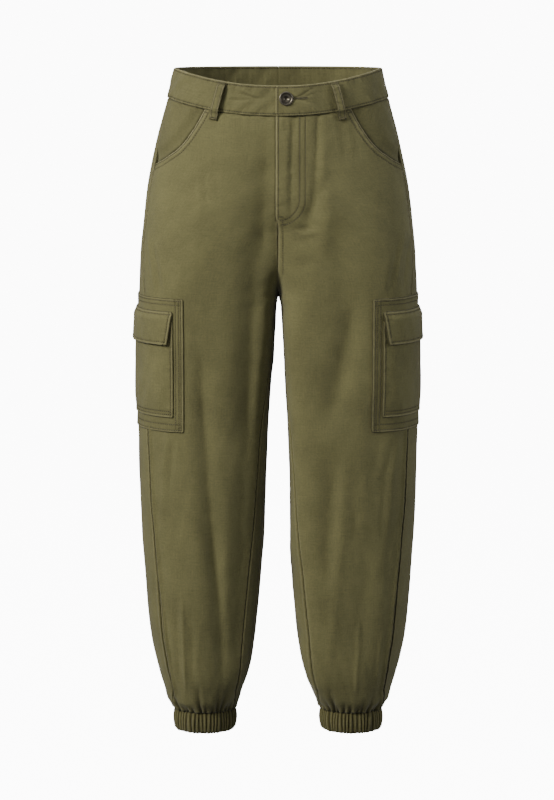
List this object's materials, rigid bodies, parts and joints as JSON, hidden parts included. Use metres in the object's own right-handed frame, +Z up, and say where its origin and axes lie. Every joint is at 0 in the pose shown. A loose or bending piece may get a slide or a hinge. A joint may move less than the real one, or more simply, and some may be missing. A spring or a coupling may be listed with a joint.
{
  "type": "cargo trousers",
  "caption": "Loose cargo trousers in worn form, hollow, with a lapped waistband, flapped side pockets and gathered legs on elastic cuffs.",
  "frame": {"origin": "centre of the waist, level with the middle of the waistband at its sides, where the wearer holds the trousers", "axes": "+Z up along the legs towards the waist, the front faces -Y, the wearer's left is +X"},
  "size_m": [0.4198, 0.2582, 0.9645],
  "materials": {
    "twill": "olive cotton twill with a short soft nap, matt",
    "cuff_casing": "olive cotton twill gathered over elastic, matt",
    "button": "dark gunmetal plating, satin"
  },
  "bodies": {
    "root": {"front_right": "twill", "front_left": "twill", "back_right": "twill", "back_left": "twill", "pocket_facing_right": "twill", "pocket_facing_left": "twill", "waistband_right": "twill", "waistband_left": "twill", "belt_loop_front_right": "twill", "belt_loop_front_left": "twill", "belt_loop_back_right": "twill", "belt_loop_back_left": "twill", "belt_loop_centre_back": "twill", "pocket_backing_right": "twill", "pocket_backing_left": "twill", "cargo_pocket_right": "twill", "cargo_pocket_left": "twill", "pocket_flap_right": "twill", "pocket_flap_left": "twill", "cuff_right": "cuff_casing", "cuff_left": "cuff_casing", "button": "button"}
  },
  "joints": []
}
